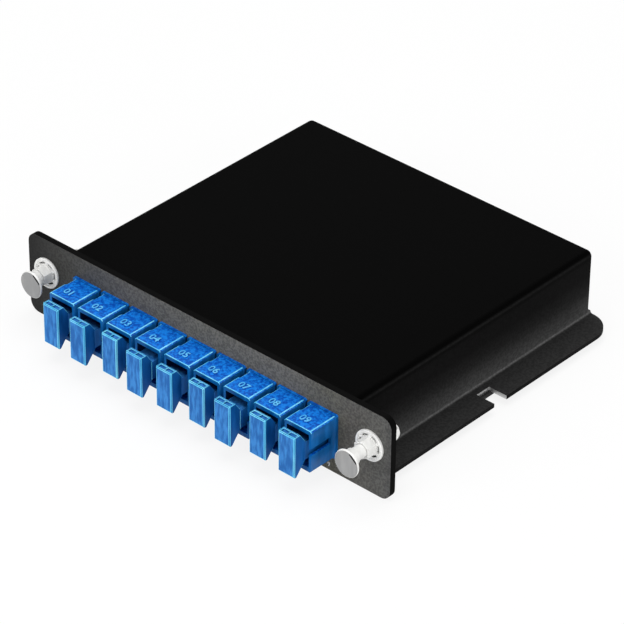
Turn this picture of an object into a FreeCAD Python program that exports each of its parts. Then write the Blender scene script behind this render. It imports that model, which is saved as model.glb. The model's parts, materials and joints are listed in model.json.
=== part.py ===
import FreeCAD, Part
import math
import os

# A 1 x 8 optical splitter cassette: nine simplex SC adapters in a front panel, a folded
# steel box behind it, a planar splitter and nine pigtails inside, and two push-pull
# plungers that hold the panel to its rack.
#
# Frame while building, in millimetres: X to the right along the panel, Y from the front
# face of the panel (Y = 0) to the rear, Z up from the panel's bottom edge (Z = 0).
# The finished pieces are moved along Y at the end, so that the origin is under the
# middle of the whole object.

V = FreeCAD.Vector

# ---------------------------------------------------------------- driving dimensions
# Front panel
panel_width = 130.0
panel_height = 25.0
panel_thickness = 2.0
panel_corner_r = 3.0

# Folded steel box
box_width = 102.6            # outside of the two side walls
box_rear = 98.6              # outside of the rear wall, from the panel's front face
top_step = 1.4               # from the panel's top edge down to the outside of the box's top
sheet = 1.2                  # cover and base plate
bend_r = 0.8                 # inner radius of each fold
rear_corner_r = 1.6          # upright rear edges of the cover
front_flange = 3.6           # downturned edge of the top, behind the panel
wing_reach = 8.35            # side wing, out from the side wall
wing_corner_r = 7.4
wing_notch_length = 5.0      # along Y, half way along the wing
wing_notch_depth = 6.0

# Base plate
base_bottom = 0.8            # underside, above the panel's bottom edge
base_overhang = 3.1          # past each side wall, under the wing
base_lip_clear = 0.2         # between the upturned front edge and the adapters' clips
base_lip_gap = 0.5           # between the lip's ends and the cover's side walls

# Ports
port_count = 9
port_pitch = 10.6
port_z = 11.8

# SC adapter
adapter_width = 9.15
adapter_height = 12.8
adapter_length = 27.4
adapter_reach = 9.8          # in front of the panel
adapter_edge = 0.4           # chamfer along the housing's long edges
collar_lip = 0.35            # collar past the body, each way
collar_thickness = 0.8
mouth_width = 7.6
mouth_height = 10.2
key_height = 2.1
key_depth = 7.4
side_recess = 0.75
side_recess_front = 4.9      # from the panel's face to the front end of the side recess
septum = 1.5                 # flange of the insert in the middle of the housing
holder_across = 4.2          # octagonal outside of the sleeve holder, across its flats
holder_length = 13.0
arm_width = 3.2
arm_thickness = 0.7
arm_inner = 3.65             # arm's inner face, from the port's axis
arm_length = 8.0
hook_inner = 3.2
hook_length = 1.4
clip_thickness = 0.3
clip_length = 5.0
clip_gap = 0.1               # between the panel and the clip
clip_spring = 0.8            # how far the clip's tabs stand off the body
clip_tab_width = 3.0
clip_tab_root = 1.0          # between the tab's root and the clip's rear edge

# Split sleeve and ferrule
sleeve_r = 1.6
sleeve_length = 11.4
sleeve_slit = 0.35
ferrule_r = 1.249
ferrule_fit = 0.011          # radial, ferrule in sleeve
ferrule_gap = 0.05           # between the ferrule's tip and the middle of the adapter
sleeve_fit = 0.05            # radial, sleeve in its holder

# Dust cap
cap_width = 5.6
cap_height = 12.5
cap_drop = 0.5               # grip's middle, below the port's axis
cap_grip = 2.2               # level part of the grip's top, along Y
cap_grip_foot = 1.0          # level part of its underside
cap_front = 13.5             # grip's face from the panel, when pushed home
cap_plug_width = 5.8
plug_clearance = 0.2         # plugs inside the adapter's latch arms
cap_plug_end = 0.4           # plug's inner end, behind the panel's front face
cap_plug_start = 9.4         # where the grip has tapered to the plug
cap_plug_root = 0.2          # how far the plug reaches into the grip
cap_bore_space = 1.6         # past the sleeve holder's end, in a cap
cap_edge = 0.3
cap_pocket_depth = 0.5
cap_pocket_wall = 0.45
# how far each cap stands out of its port, from port 1 to port 9
cap_pulled = [0.7, 1.4, 0.0, 1.7, 1.4, 0.3, 1.9, 0.1, 0.7]

# Connector on each pigtail
grip_width = 7.4
grip_height = 9.0
plug_reach = 5.1             # plug's front end, from the middle of the adapter
plug_width = 6.2
grip_reach = 10.4            # grip's front end, from the middle of the adapter
grip_length = 16.7
holder_space = 0.35          # round the sleeve holder, in plugs and caps
holder_end_space = 1.0       # past the sleeve holder's end, in a plug
grip_edge = 0.8
boot_length = 10.0
boot_front = 4.2             # octagonal, across its flats
boot_rear = 2.2

# Pigtail
cord_r = 0.45
cord_sides = 6
lane_pitch = 1.2
fan_drop = 10.0              # how far a fibre comes forward on its way across the box
fan_run = 12.5               # from the boots to where the first fibre turns forward
lane_bend_r = 14.4           # outermost bend beside the splitter
fan_bend_r = 10.0
boot_bend_r = 10.0
boot_run = 2.0               # straight run behind each boot

# Planar splitter
splitter_length = 50.0
splitter_width = 7.0
splitter_height = 4.0
splitter_wall = 0.4
splitter_rear = 5.8          # between the case and the rear wall
splitter_end = 2.0           # length of each rubber end
splitter_edge_r = 0.6
chip_length = 16.0
chip_width = 4.4
chip_height = 2.4
array_length = 4.0           # fibre array at each end of the chip
array_overhang = 0.3         # past each side of the chip

# Standoffs, screws and fibre clips
standoff_across = 4.0
standoff_gap = 0.05          # between a standoff and the folds beside it
standoff_front_y = 47.0
screw_r = 1.25
screw_head_r = 2.3
screw_head_height = 0.7
screw_length = 5.9           # below the head
screw_hole_gap = 0.15        # radial, screw in the base plate
thread_fit = 0.02            # radial, screw in the standoff
hole_past_screw = 0.1
fibre_clip_length = 2.0      # along the fibres
fibre_clip_place = 0.5       # behind the splitter's end
fibre_clip_wall = 0.8
fibre_clip_gap = 0.3
fibre_clip_foot = 3.0        # foot, past the fibres on each side
fibre_clip_foot_height = 0.5

# Plunger and grommet
plunger_edge = 6.9           # plunger's axis, from the panel's end
plunger_z = 14.6
plunger_out = 9.4            # head's face from the panel, when pulled right out
stop_gap = 0.1               # left between a plunger and each of its stops
head_r = 3.9
head_thickness = 0.6
flare_r = 2.45               # behind the head
flare_end_r = 2.1
flare_length = 2.4
neck_r = 1.85
neck_end = 0.5               # rear end of the neck, behind the panel's face, pulled out
shank_r = 1.5
barb_catch = 0.25            # barb past the grommet's shank bore, all round
barb_length = 2.2
barb_tip_r = 1.0
grommet_r = 4.6
grommet_thickness = 0.8
grommet_dish_r = 3.8
grommet_dish_depth = 0.4
hexagon_across = 4.7         # hexagonal boss, across its flats
boss_reach = 3.4             # in front of the panel
window_count = 6             # windows through the floor of the dish, one by each flat
window_length = 2.0
window_inner = 2.8           # window's inner side, from the axis
window_width = 0.6
leg_seat_r = 2.95            # in the panel's hole
leg_seat_end = 2.5
leg_r = 2.75                 # behind the panel
leg_end = 9.6
leg_taper = 1.6
leg_tip_r = 2.35
leg_slot = 0.7
leg_slot_start = 3.4
neck_fit = 0.1               # radial, neck in the grommet
shank_fit = 0.1              # radial, shank in the grommet
neck_bore_end = 4.0
leg_fit = 0.05               # radial, legs in the panel

# ---------------------------------------------------------------- derived sizes
cutout_clearance = 0.1
wall_x = box_width / 2
box_top = panel_height - top_step
wing_x = wall_x + wing_reach
cover_bottom = base_bottom + sheet
outer_bend = bend_r + sheet
box_middle_y = (panel_thickness + box_rear) / 2
adapter_rear = adapter_length - adapter_reach
adapter_middle = adapter_rear - adapter_length / 2
holder_front = adapter_middle - holder_length / 2
holder_rear = adapter_middle + holder_length / 2
adapter_bottom = port_z - adapter_height / 2
adapter_top = port_z + adapter_height / 2
plug_height = 2 * (hook_inner - plug_clearance)
holder_bore = holder_across + 2 * holder_space
plug_start = adapter_middle + plug_reach
plug_cavity_end = holder_rear + holder_end_space
grip_start = adapter_middle + grip_reach
grip_end = grip_start + grip_length
cap_reach = cap_front + max(cap_pulled)
boot_end = grip_end + boot_length
standoff_r = standoff_across / 2 / math.cos(math.pi / 6)
standoff_x = wall_x - outer_bend - standoff_gap - standoff_r
standoff_rear_y = box_rear - outer_bend - standoff_gap - standoff_across / 2
splitter_y = box_rear - sheet - splitter_rear - splitter_width / 2
splitter_z = cover_bottom + splitter_height / 2
fan_y = boot_end + fan_run
plunger_x = panel_width / 2 - plunger_edge
plunger_travel = plunger_out - head_thickness - flare_length - boss_reach - stop_gap
lane_z = lane_pitch / 2


def port_x(number):
    """X of a port's axis; ports are numbered from 1 at the left."""
    return (number - (port_count + 1) / 2) * port_pitch


# ---------------------------------------------------------------- small shapes
def block(x0, x1, y0, y1, z0, z1):
    """A box between two corners."""
    return Part.makeBox(x1 - x0, y1 - y0, z1 - z0, V(x0, y0, z0))


def rod(x, z, y0, y1, radius):
    """A round bar along Y."""
    return Part.makeCylinder(radius, y1 - y0, V(x, y0, z), V(0, 1, 0))


def outline(points):
    """A flat face with straight sides."""
    corners = [V(*p) for p in points]
    return Part.Face(Part.makePolygon(corners + corners[:1]))


def rounded_face(x, z, width, height, radius, y):
    """A rectangle with round corners, in the plane at Y = y."""
    left, right = x - width / 2, x + width / 2
    low, high = z - height / 2, z + height / 2
    k = radius * (1 - math.sqrt(0.5))
    sides = [
        ((left + radius, low), (right - radius, low), (right - k, low + k), (right, low + radius)),
        ((right, low + radius), (right, high - radius), (right - k, high - k), (right - radius, high)),
        ((right - radius, high), (left + radius, high), (left + k, high - k), (left, high - radius)),
        ((left, high - radius), (left, low + radius), (left + k, low + k), (left + radius, low)),
    ]
    edges = []
    for start, end, middle, finish in sides:
        a, b, m, f = (V(p[0], y, p[1]) for p in (start, end, middle, finish))
        edges.append(Part.makeLine(a, b))
        edges.append(Part.Arc(b, m, f).toShape())
    return Part.Face(Part.Wire(edges))


def rounded_bar(x, z, width, height, radius, y0, y1):
    """A bar along Y whose section is a rectangle with round corners."""
    return rounded_face(x, z, width, height, radius, y0).extrude(V(0, y1 - y0, 0))


def chamfered_bar(x, z, width, height, chamfer, y0, y1):
    """A bar along Y whose section is a rectangle with cut corners."""
    w, h = width / 2, height / 2
    corners = []
    for sx, sz in ((-1, -1), (1, -1), (1, 1), (-1, 1)):
        along = (x + sx * (w - chamfer), y0, z + sz * h)
        upright = (x + sx * w, y0, z + sz * (h - chamfer))
        corners += [upright, along] if sx == sz else [along, upright]
    return outline(corners).extrude(V(0, y1 - y0, 0))


def prism_wire(x, z, y, across, sides):
    """A regular polygon in the plane at Y = y, across its flats."""
    radius = across / 2 / math.cos(math.pi / sides)
    turn = 2 * math.pi / sides
    ring = [V(x + radius * math.cos(turn * (i + 0.5)), y, z + radius * math.sin(turn * (i + 0.5)))
            for i in range(sides)]
    return Part.makePolygon(ring + ring[:1])


def prism_bar(x, z, y0, y1, across, sides):
    """A bar along Y with a regular section, across its flats."""
    return Part.Face(prism_wire(x, z, y0, across, sides)).extrude(V(0, y1 - y0, 0))


def turned(x, z, profile):
    """A turned piece about the Y axis through (x, z); profile is a list of (y, radius)."""
    face = outline([(x + radius, y, z) for y, radius in profile])
    return face.revolve(V(x, 0, z), V(0, 1, 0), 360)


def edges_along(shape, axis):
    """The straight edges of a shape that run along one axis."""
    found = []
    for edge in shape.Edges:
        if edge.Curve.TypeId == "Part::GeomLine":
            way = edge.Curve.Direction
            if abs(way.dot(axis)) > 0.999:
                found.append(edge)
    return found


def bent_path(points, radii):
    """Straight runs through the points, joined at each inner point by a tangent arc."""
    edges = []
    start = points[0]
    for here, last, after, radius in zip(points[1:], points, points[2:], radii):
        into = (here - last).normalize()
        away = (after - here).normalize()
        half = into.getAngle(away) / 2
        reach = radius * math.tan(half)
        first, final = here - into * reach, here + away * reach
        inward = (away - into).normalize()
        middle = here + inward * (radius / math.cos(half) - radius)
        edges.append(Part.makeLine(start, first))
        edges.append(Part.Arc(first, middle, final).toShape())
        start = final
    edges.append(Part.makeLine(start, points[-1]))
    return Part.Wire(edges)


def tube_along(path, radius, sides):
    """A cord along a path that starts level; its section is a regular polygon of equal area."""
    first = path.Edges[0]
    way = first.tangentAt(first.FirstParameter)
    start = path.Vertexes[0].Point
    across = V(-way.y, way.x, 0)
    turn = 2 * math.pi / sides
    corner_r = radius * math.sqrt(turn / math.sin(turn))
    ring = [start + across * corner_r * math.cos(turn * i) + V(0, 0, corner_r * math.sin(turn * i))
            for i in range(sides)]
    return path.makePipeShell([Part.makePolygon(ring + ring[:1])], True, False)


# ---------------------------------------------------------------- sheet metal
def front_panel():
    """Flat plate with round corners, nine adapter cut-outs and two plunger holes."""
    plate = rounded_bar(0, panel_height / 2, panel_width, panel_height, panel_corner_r,
                        0, panel_thickness)
    width = adapter_width + 2 * cutout_clearance
    height = adapter_height + 2 * cutout_clearance
    for number in range(1, port_count + 1):
        plate = plate.cut(chamfered_bar(port_x(number), port_z, width, height,
                                        adapter_edge, -1, panel_thickness + 1))
    for side in (-1, 1):
        plate = plate.cut(rod(side * plunger_x, plunger_z, -1, panel_thickness + 1,
                              leg_seat_r + leg_fit))
    return plate


def cover_block(inset, y0, y1):
    """The filled box inside the cover's outside surface moved in by inset."""
    half = wall_x - inset
    top = box_top - inset
    body = block(-half, half, y0, y1 - inset, cover_bottom, top)
    fold = [e for e in edges_along(body, V(0, 1, 0)) if e.CenterOfMass.z > top - 0.1]
    fold += [e for e in edges_along(body, V(1, 0, 0))
             if e.CenterOfMass.z > top - 0.1 and e.CenterOfMass.y > y1 - inset - 0.1]
    body = body.makeFillet(outer_bend - inset, fold)
    uprights = [e for e in edges_along(body, V(0, 0, 1)) if e.CenterOfMass.y > y1 - inset - 0.1]
    return body.makeFillet(rear_corner_r - inset, uprights)


def wing(side):
    """One side wing with the fold that joins it to the side wall."""
    y0, y1 = panel_thickness, box_rear
    high = cover_bottom + sheet
    centre_x, centre_z = wall_x + bend_r, high + bend_r
    k = math.sqrt(0.5)
    inner = wall_x - sheet

    def at(x, z):
        return V(side * x, y0, z)

    edges = [
        Part.Arc(at(inner, centre_z), at(centre_x - outer_bend * k, centre_z - outer_bend * k),
                 at(centre_x, cover_bottom)).toShape(),
        Part.makeLine(at(centre_x, cover_bottom), at(wing_x, cover_bottom)),
        Part.makeLine(at(wing_x, cover_bottom), at(wing_x, high)),
        Part.makeLine(at(wing_x, high), at(centre_x, high)),
        Part.Arc(at(centre_x, high), at(centre_x - bend_r * k, centre_z - bend_r * k),
                 at(wall_x, centre_z)).toShape(),
        Part.makeLine(at(wall_x, centre_z), at(inner, centre_z)),
    ]
    plate = Part.Face(Part.Wire(edges)).extrude(V(0, y1 - y0, 0))
    corner = [e for e in edges_along(plate, V(0, 0, 1))
              if abs(e.CenterOfMass.x) > wing_x - 0.1 and e.CenterOfMass.y > y1 - 0.1]
    plate = plate.makeFillet(wing_corner_r, corner)
    notch_x = sorted((side * (wing_x - wing_notch_depth), side * (wing_x + 1)))
    half = wing_notch_length / 2
    return plate.cut(block(notch_x[0], notch_x[1], box_middle_y - half, box_middle_y + half,
                           0, high + 1))


def cover():
    """Top, side walls and rear wall folded from one sheet, with a wing at each side."""
    shell = cover_block(0, panel_thickness, box_rear)
    shell = shell.cut(cover_block(sheet, panel_thickness - 1, box_rear))
    clear_z = cover_bottom + sheet + bend_r
    for side in (-1, 1):
        walls = sorted((side * (wall_x - sheet - 0.01), side * (wall_x + 0.01)))
        shell = shell.cut(block(walls[0], walls[1], panel_thickness - 1,
                                box_rear - rear_corner_r, 0, clear_z))
    flange = block(-(wall_x - outer_bend), wall_x - outer_bend, panel_thickness,
                   panel_thickness + sheet, box_top - front_flange, box_top - sheet)
    pieces = [flange]
    for side in (-1, 1):
        keep = cover_block(0, panel_thickness, box_rear).fuse(
            block(-panel_width, panel_width, 0, box_rear, 0, clear_z))
        pieces.append(wing(side).common(keep))
    return shell.multiFuse(pieces).removeSplitter()


def base_plate():
    """Flat bottom plate with an upturned front lip."""
    half = wall_x + base_overhang
    plate = block(-half, half, panel_thickness, box_rear, base_bottom, cover_bottom)
    lip_half = wall_x - sheet - base_lip_gap
    lip = block(-lip_half, lip_half, panel_thickness, panel_thickness + sheet,
                cover_bottom, adapter_bottom - clip_spring - base_lip_clear)
    corners = [e for e in edges_along(plate, V(0, 0, 1)) if e.CenterOfMass.y > box_rear - 0.1]
    plate = plate.makeFillet(rear_corner_r, corners).fuse(lip)
    for x, y in standoff_places():
        plate = plate.cut(Part.makeCylinder(screw_r + screw_hole_gap, sheet + 2,
                                            V(x, y, base_bottom - 1)))
    return plate.removeSplitter()


def standoff_places():
    """Where the four standoffs and their screws stand."""
    return [(side * standoff_x, y) for side in (-1, 1)
            for y in (standoff_front_y, standoff_rear_y)]


def standoffs():
    """Four hexagonal threaded standoffs between the base plate and the cover's top."""
    posts = []
    for x, y in standoff_places():
        ring = [(x + standoff_r * math.cos(math.radians(60 * i)),
                 y + standoff_r * math.sin(math.radians(60 * i)), cover_bottom) for i in range(6)]
        post = outline(ring).extrude(V(0, 0, box_top - sheet - cover_bottom))
        hole = Part.makeCylinder(screw_r + thread_fit, screw_length + hole_past_screw,
                                 V(x, y, base_bottom))
        posts.append(post.cut(hole))
    return Part.makeCompound(posts)


def base_screws():
    """Four thin-headed screws through the base plate into the standoffs."""
    screws = []
    for x, y in standoff_places():
        shank = Part.makeCylinder(screw_r, screw_length, V(x, y, base_bottom))
        head = Part.makeCylinder(screw_head_r, screw_head_height,
                                 V(x, y, base_bottom - screw_head_height))
        screws.append(shank.fuse(head))
    return Part.makeCompound(screws)


# ---------------------------------------------------------------- adapters
def key_slot(x, front, way):
    """The empty space of the key slot at one end of a housing, opening along way."""
    y0, y1 = sorted((front + way, front - way * key_depth))
    return block(x, x + adapter_width, y0, y1, port_z - key_height / 2, port_z + key_height / 2)


def adapter(number):
    """The housing of a simplex SC adapter: open from end to end, with a key slot at each end."""
    x = port_x(number)
    front, rear = -adapter_reach, adapter_rear
    body = chamfered_bar(x, port_z, adapter_width, adapter_height, adapter_edge, front, rear)
    collar = chamfered_bar(x, port_z, adapter_width + 2 * collar_lip,
                           adapter_height + 2 * collar_lip, adapter_edge, -collar_thickness, 0)
    left = x - adapter_width / 2
    recess = outline([(left, -side_recess_front, 0),
                      (left + side_recess, -side_recess_front + side_recess, 0),
                      (left + side_recess, -collar_thickness, 0), (left, -collar_thickness, 0)])
    body = body.cut(recess.extrude(V(0, 0, panel_height))).fuse(collar)
    clip_y = panel_thickness + clip_gap
    seat = block(left - 1, x + adapter_width, clip_y, clip_y + clip_length, 0, panel_height)
    core = block(left + clip_thickness, x + adapter_width, clip_y, clip_y + clip_length,
                 adapter_bottom + clip_thickness, adapter_top - clip_thickness)
    body = body.cut(seat.cut(core))
    mouth = block(x - mouth_width / 2, x + mouth_width / 2, front - 1, rear + 1,
                  port_z - mouth_height / 2, port_z + mouth_height / 2)
    return body.cut(mouth).cut(key_slot(x, front, -1)).cut(key_slot(x, rear, 1)).removeSplitter()


def latch_arm(x, root, way, side):
    """One spring arm with its hook, from the insert's flange towards a mouth."""
    tip = root + way * arm_length
    left = x - arm_width / 2
    inner = port_z + side * arm_inner
    outer = port_z + side * (arm_inner + arm_thickness)
    hook = port_z + side * hook_inner
    face = outline([(left, root, outer), (left, tip, outer), (left, tip, inner),
                    (left, tip - way * hook_length / 2, hook), (left, tip - way * hook_length, hook),
                    (left, tip - way * hook_length, inner), (left, root, inner)])
    return face.extrude(V(arm_width, 0, 0))


def adapter_inserts():
    """The insert in each housing: flange, sleeve holder and four latch arms."""
    inserts = []
    front = adapter_middle - septum / 2
    rear = adapter_middle + septum / 2
    for number in range(1, port_count + 1):
        x = port_x(number)
        flange = block(x - mouth_width / 2, x + mouth_width / 2, front, rear,
                       port_z - mouth_height / 2, port_z + mouth_height / 2)
        more = [prism_bar(x, port_z, holder_front, holder_rear, holder_across, 8)]
        for side in (-1, 1):
            more.append(latch_arm(x, front, -1, side))
            more.append(latch_arm(x, rear, 1, side))
        bore = rod(x, port_z, holder_front - 1, holder_rear + 1, sleeve_r + sleeve_fit)
        inserts.append(flange.multiFuse(more).cut(bore).removeSplitter())
    return Part.makeCompound(inserts)


def adapter_clips():
    """Spring-steel clips that hold the adapters against the panel from behind."""
    clips = []
    y0 = panel_thickness + clip_gap
    y1 = y0 + clip_length
    half = adapter_height / 2
    for number in range(1, port_count + 1):
        x = port_x(number)
        left = x - adapter_width / 2
        right = x + adapter_width / 2 - adapter_edge
        outside = block(left, right, y0, y1, port_z - half, port_z + half)
        inside = block(left + clip_thickness, right + 1, y0 - 1, y1 + 1,
                       port_z - half + clip_thickness, port_z + half - clip_thickness)
        clip = outside.cut(inside)
        for side in (-1, 1):
            low = port_z + side * half
            high = low + side * clip_spring
            x0 = x - clip_tab_width / 2
            tab = outline([(x0, y1 - clip_tab_root, low), (x0, y0, high),
                           (x0, y0 + clip_thickness, high), (x0, y1, low)])
            clip = clip.fuse(tab.extrude(V(clip_tab_width, 0, 0)))
        clips.append(clip.removeSplitter())
    return Part.makeCompound(clips)


def alignment_sleeves():
    """Slit ceramic sleeves, one in each adapter."""
    sleeves = []
    for number in range(1, port_count + 1):
        x = port_x(number)
        y0 = adapter_middle - sleeve_length / 2
        y1 = adapter_middle + sleeve_length / 2
        sleeve = rod(x, port_z, y0, y1, sleeve_r)
        sleeve = sleeve.cut(rod(x, port_z, y0 - 1, y1 + 1, ferrule_r + ferrule_fit))
        slit = block(x - sleeve_slit / 2, x + sleeve_slit / 2, y0 - 1, y1 + 1,
                     port_z, port_z + 2 * sleeve_r)
        sleeves.append(sleeve.cut(slit))
    return Part.makeCompound(sleeves)


# ---------------------------------------------------------------- dust caps
def dust_cap(number):
    """A moulded dust cap: cored grip block, tapering to a hollow plug in the adapter's mouth."""
    x = port_x(number)
    middle = port_z - cap_drop
    low, high = middle - cap_height / 2, middle + cap_height / 2
    grip_rear = -cap_front + cap_grip
    foot_rear = -cap_front + cap_grip_foot
    neck = plug_height / 2
    side = outline([(x - cap_width / 2, -cap_front, low), (x - cap_width / 2, -cap_front, high),
                    (x - cap_width / 2, grip_rear, high),
                    (x - cap_width / 2, -cap_plug_start, port_z + neck),
                    (x - cap_width / 2, -cap_plug_start, port_z - neck),
                    (x - cap_width / 2, foot_rear, low)])
    grip = side.extrude(V(cap_width, 0, 0))
    front = [e for e in grip.Edges if e.CenterOfMass.y < -cap_front + 0.01]
    grip = grip.makeChamfer(cap_edge, front)
    pocket = (cap_width - 3 * cap_pocket_wall) / 2
    y0, y1 = -cap_front + cap_pocket_wall, grip_rear - cap_pocket_wall
    for offset in (-1, 1):
        centre = x + offset * (pocket + cap_pocket_wall) / 2
        grip = grip.cut(block(centre - pocket / 2, centre + pocket / 2, y0, y1,
                              high - cap_pocket_depth, high + 1))
    plug = chamfered_bar(x, port_z, cap_plug_width, plug_height, cap_edge,
                         -cap_plug_start - cap_plug_root, cap_plug_end)
    plug = plug.cut(prism_bar(x, port_z, holder_front - cap_bore_space, cap_plug_end + 1,
                              holder_bore, 4))
    cap = grip.fuse(plug).removeSplitter()
    cap.translate(V(0, -cap_pulled[number - 1], 0))
    return cap


# ---------------------------------------------------------------- connectors and pigtails
def connector(number):
    """An SC connector plugged in from behind: plug frame between the latch arms, and grip."""
    x = port_x(number)
    frame = chamfered_bar(x, port_z, plug_width, plug_height, cap_edge, plug_start, grip_start)
    grip = chamfered_bar(x, port_z, grip_width, grip_height, grip_edge, grip_start, grip_end)
    cavity = prism_bar(x, port_z, plug_start - 1, plug_cavity_end, holder_bore, 4)
    return frame.fuse(grip).cut(cavity)


def ferrules():
    """Ceramic ferrules, from the connectors' cavities to the middle of the adapters."""
    return Part.makeCompound([rod(port_x(number), port_z, adapter_middle + ferrule_gap,
                                  plug_cavity_end, ferrule_r)
                              for number in range(1, port_count + 1)])


def connector_boots():
    """Tapered rubber boots behind the connectors."""
    boots = []
    for number in range(1, port_count + 1):
        front = prism_wire(port_x(number), port_z, grip_end, boot_front, 8)
        rear = prism_wire(port_x(number), port_z, boot_end, boot_rear, 8)
        faces = [Part.Face(front), Part.Face(rear)]
        for one, two in zip(front.Edges, rear.Edges):
            a, b = (vertex.Point for vertex in one.Vertexes)
            c, d = (vertex.Point for vertex in two.Vertexes)
            faces.append(Part.Face(Part.makePolygon([a, b, d, c, a])))
        boot = Part.makeSolid(Part.makeShell(faces))
        if boot.Volume < 0:
            boot.reverse()
        boots.append(boot)
    return Part.makeCompound(boots)


def pigtail_route(number):
    """Points and bend radii of one pigtail, from the splitter's end to its connector's boot.

    The last port is the input: its fibre leaves the splitter's right end. The others leave
    the left end in two rows of four, turn forward beside the box's left wall, climb from the
    splitter's level to the ports' level, and fan out to their connectors.
    """
    x = port_x(number)
    exit_x = splitter_length / 2 + splitter_end
    boot = V(x, boot_end, port_z)
    level = V(x, boot_end + boot_run, port_z)
    if number == port_count:
        points = [V(exit_x, splitter_y, splitter_z), V(x, splitter_y, splitter_z),
                  V(x, fan_y + fan_drop, port_z), boot]
        return points, [lane_bend_r, fan_bend_r]
    row = 1 if number % 2 == 0 else -1
    inset = (number - 1) // 2 * lane_pitch
    lane_x = port_x(1) + inset
    y = splitter_y + 1.5 * lane_pitch - inset
    low = splitter_z + row * lane_z
    high = port_z + row * lane_z
    points = [V(-exit_x, y, low), V(lane_x, y, low), V(lane_x, fan_y + fan_drop + inset, high)]
    radii = [lane_bend_r - inset, fan_bend_r, boot_bend_r]
    if number == 1:
        return points + [level, boot], radii
    return points + [V(x, fan_y + inset, port_z), boot], radii


def pigtail(number):
    """One 0.9 mm buffered fibre."""
    points, radii = pigtail_route(number)
    path = bent_path(points, radii)
    print("pigtail", number, "length %.1f mm, bend radii" % path.Length, radii)
    return tube_along(path, cord_r, cord_sides)


# ---------------------------------------------------------------- splitter
def splitter_case():
    """Drawn steel tube round the splitter chip."""
    half = splitter_length / 2
    case = block(-half, half, splitter_y - splitter_width / 2, splitter_y + splitter_width / 2,
                 splitter_z - splitter_height / 2, splitter_z + splitter_height / 2)
    case = case.makeFillet(splitter_edge_r, edges_along(case, V(1, 0, 0)))
    width, height = splitter_width / 2 - splitter_wall, splitter_height / 2 - splitter_wall
    return case.cut(block(-half - 1, half + 1, splitter_y - width, splitter_y + width,
                          splitter_z - height, splitter_z + height))


def splitter_chip():
    """Silica waveguide chip with a fibre array bonded to each end."""
    floor = splitter_z - splitter_height / 2 + splitter_wall
    top = splitter_z + splitter_height / 2 - splitter_wall
    half = chip_length / 2
    chip = block(-half, half, splitter_y - chip_width / 2, splitter_y + chip_width / 2,
                 floor, floor + chip_height)
    arrays = []
    for side in (-1, 1):
        x0, x1 = sorted((side * half, side * (half + array_length)))
        arrays.append(block(x0, x1, splitter_y - chip_width / 2 - array_overhang,
                            splitter_y + chip_width / 2 + array_overhang, floor, top))
    return chip.multiFuse(arrays).removeSplitter()


def splitter_ends():
    """Rubber ends of the splitter case, moulded round the fibres."""
    half = splitter_length / 2
    ends = []
    for side in (-1, 1):
        x0, x1 = sorted((side * half, side * (half + splitter_end)))
        ends.append(block(x0, x1, splitter_y - splitter_width / 2, splitter_y + splitter_width / 2,
                          splitter_z - splitter_height / 2, splitter_z + splitter_height / 2))
    return Part.makeCompound(ends)


def fibre_clips():
    """Two arched clips stuck to the base plate, one round each end's fibres."""
    clips = []
    start = splitter_length / 2 + splitter_end + fibre_clip_place
    for side, lanes in ((-1, 4), (1, 1)):
        x0, x1 = sorted((side * start, side * (start + fibre_clip_length)))
        rows = lane_z if lanes > 1 else 0
        span = (lanes - 1) * lane_pitch / 2 + cord_r + fibre_clip_gap
        arch_span = span + fibre_clip_wall
        foot_span = span + fibre_clip_foot
        top = splitter_z + rows + cord_r + fibre_clip_gap
        foot_top = cover_bottom + fibre_clip_foot_height
        arch = block(x0, x1, splitter_y - arch_span, splitter_y + arch_span,
                     cover_bottom, top + fibre_clip_wall)
        foot = block(x0, x1, splitter_y - foot_span, splitter_y + foot_span,
                     cover_bottom, foot_top)
        way = block(x0 - 1, x1 + 1, splitter_y - span, splitter_y + span, foot_top, top)
        clips.append(arch.fuse(foot).cut(way))
    return Part.makeCompound(clips)


# ---------------------------------------------------------------- plungers
def grommet(side):
    """Nylon grommet: flange with a windowed dish and a hexagonal boss, and four split legs behind."""
    x = side * plunger_x
    dish = -grommet_thickness + grommet_dish_depth
    neck_bore = neck_r + neck_fit
    shank_bore = shank_r + shank_fit
    body = turned(x, plunger_z, [
        (dish, neck_bore), (dish, grommet_dish_r),
        (-grommet_thickness, grommet_dish_r), (-grommet_thickness, grommet_r),
        (0, grommet_r), (0, leg_seat_r), (leg_seat_end, leg_seat_r), (leg_seat_end, leg_r),
        (leg_end - leg_taper, leg_r), (leg_end, leg_tip_r),
        (leg_end, shank_bore), (neck_bore_end, shank_bore), (neck_bore_end, neck_bore)])
    boss = prism_bar(x, plunger_z, -boss_reach, dish, hexagon_across, 6)
    body = body.fuse(boss.cut(rod(x, plunger_z, -boss_reach - 1, 1, neck_bore)))
    for number in range(window_count):
        window = block(window_inner, window_inner + window_width, dish - 1, 0,
                       -window_length / 2, window_length / 2)
        window.rotate(V(0, 0, 0), V(0, 1, 0), 360 / window_count * number)
        window.translate(V(x, 0, plunger_z))
        body = body.cut(window)
    for angle in (45, 135):
        slot = block(-leg_r - 1, leg_r + 1, leg_slot_start, leg_end + 1,
                     -leg_slot / 2, leg_slot / 2)
        slot.rotate(V(0, 0, 0), V(0, 1, 0), angle)
        slot.translate(V(x, 0, plunger_z))
        body = body.cut(slot)
    return body.removeSplitter()


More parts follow.
